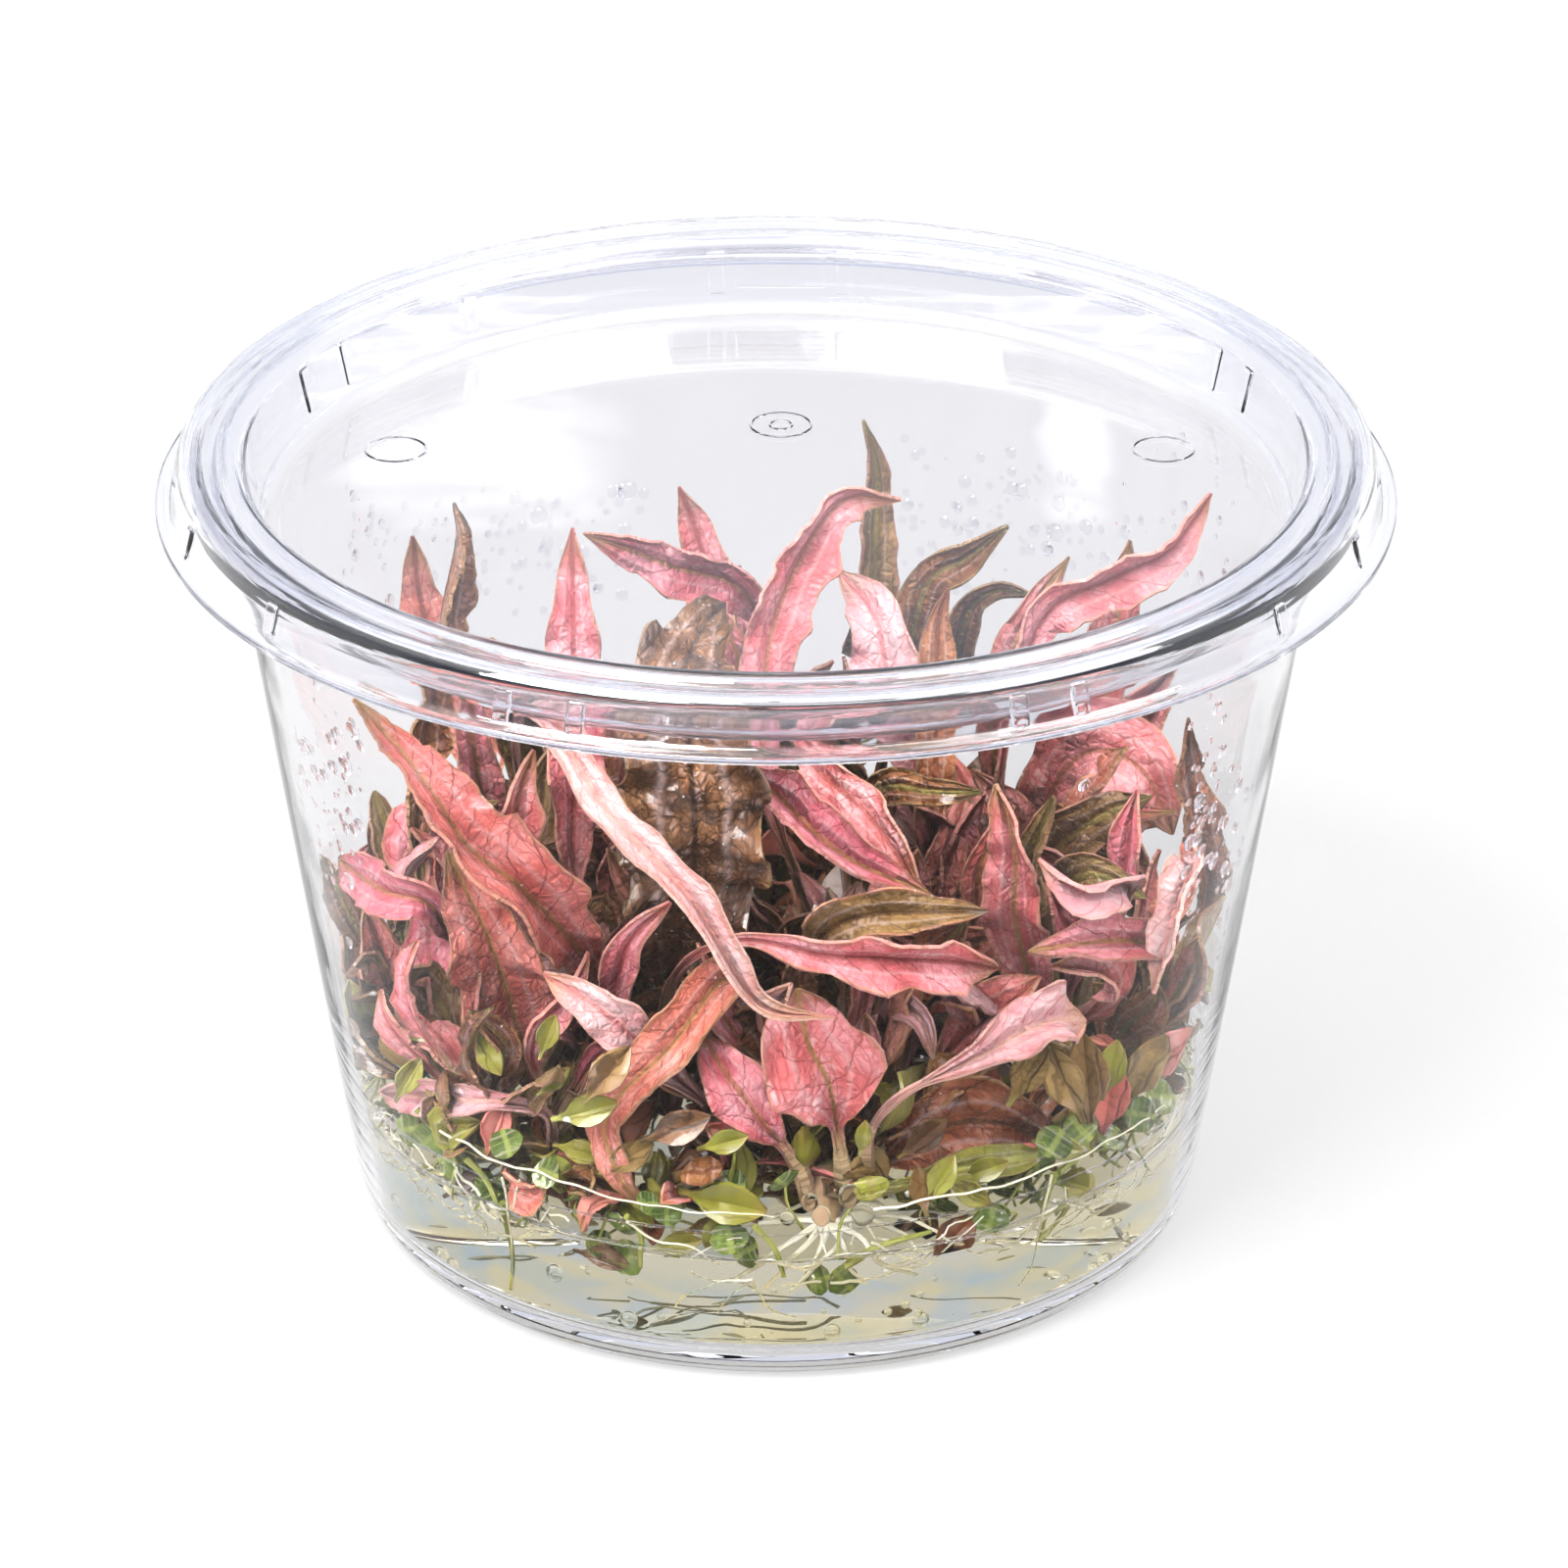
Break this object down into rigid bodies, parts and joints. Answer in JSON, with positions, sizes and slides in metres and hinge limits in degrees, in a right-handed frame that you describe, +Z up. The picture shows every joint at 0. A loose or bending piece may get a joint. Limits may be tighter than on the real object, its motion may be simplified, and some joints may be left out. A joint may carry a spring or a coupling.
{
  "type": "cryptocoryne in a culture cup",
  "caption": "Pink and brown cryptocoryne plants with green plantlets on clear gel, in a round clear plastic culture cup with a lid.",
  "frame": {"origin": "under the middle of the cup's foot, on the plane that the cup stands on", "axes": "+Z up through the lid, -Y towards the side that the picture shows as the front, +X to the right of it"},
  "size_m": [0.12, 0.12, 0.081],
  "materials": {
    "clear_plastic": "clear and glossy",
    "gel": "clear, slightly yellow and wet",
    "stem_base": "cream, satin",
    "plantlet_green": "green, satin and wet",
    "leaf_rose": "rose pink, satin",
    "leaf_pale": "pale pink, satin",
    "leaf_dusky": "dusky red, satin and wet",
    "leaf_brown": "red brown, satin",
    "leaf_amber": "amber brown, satin",
    "leaf_olive": "olive brown, satin",
    "leaf_dark": "nearly black brown, crinkled and wet"
  },
  "bodies": {
    "root": {"cup": "clear_plastic", "lid": "clear_plastic", "gel": "gel", "crown_front": "stem_base", "crown_front_left": "stem_base", "crown_left": "stem_base", "crown_centre_left": "stem_base", "crown_centre_right": "stem_base", "crown_right": "stem_base", "crown_back_left": "stem_base", "crown_back": "stem_base", "crown_back_right": "stem_base", "leaf_front_broad": "leaf_rose", "leaf_front_low_left": "leaf_rose", "leaf_front_slender": "leaf_rose", "leaf_front_square_tip": "leaf_pale", "leaf_front_brown": "leaf_brown", "leaf_front_reaching_left": "leaf_pale", "leaf_left_arc": "leaf_pale", "leaf_left_low": "leaf_rose", "leaf_left_big": "leaf_dusky", "leaf_left_level": "leaf_rose", "leaf_left_upright_brown": "leaf_brown", "leaf_left_twisted": "leaf_dusky", "leaf_left_inner": "leaf_rose", "leaf_left_upright": "leaf_rose", "leaf_dark_crinkled": "leaf_dark", "leaf_middle_long": "leaf_rose", "leaf_middle_upper": "leaf_rose", "leaf_folded_over": "leaf_dusky", "leaf_middle_silver": "leaf_olive", "leaf_middle_tan": "leaf_brown", "leaf_top_big": "leaf_rose", "leaf_top_amber": "leaf_amber", "leaf_right_curl": "leaf_rose", "leaf_right_loop": "leaf_pale", "leaf_right_hanging": "leaf_pale", "leaf_right_lower": "leaf_rose", "leaf_right_tall": "leaf_brown", "leaf_right_olive": "leaf_olive", "leaf_right_low_brown": "leaf_brown", "leaf_right_low_tan": "leaf_olive", "leaf_left_magenta": "leaf_rose", "leaf_pale_ribbon": "leaf_pale", "leaf_back_left_upright": "leaf_dusky", "leaf_top_arch": "leaf_rose", "leaf_middle_drop": "leaf_rose", "leaf_top_narrow": "leaf_olive", "leaf_top_olive": "leaf_brown", "leaf_back_upright": "leaf_rose", "leaf_right_rear_olive": "leaf_olive", "leaf_right_rear_round": "leaf_rose", "leaf_top_pale": "leaf_pale", "leaf_top_pointed": "leaf_rose", "leaf_top_upturned": "leaf_rose", "leaf_back_right_upright": "leaf_dusky", "tuft_left": "plantlet_green", "tuft_front": "plantlet_green", "tuft_front_right": "plantlet_green"}
  },
  "joints": []
}
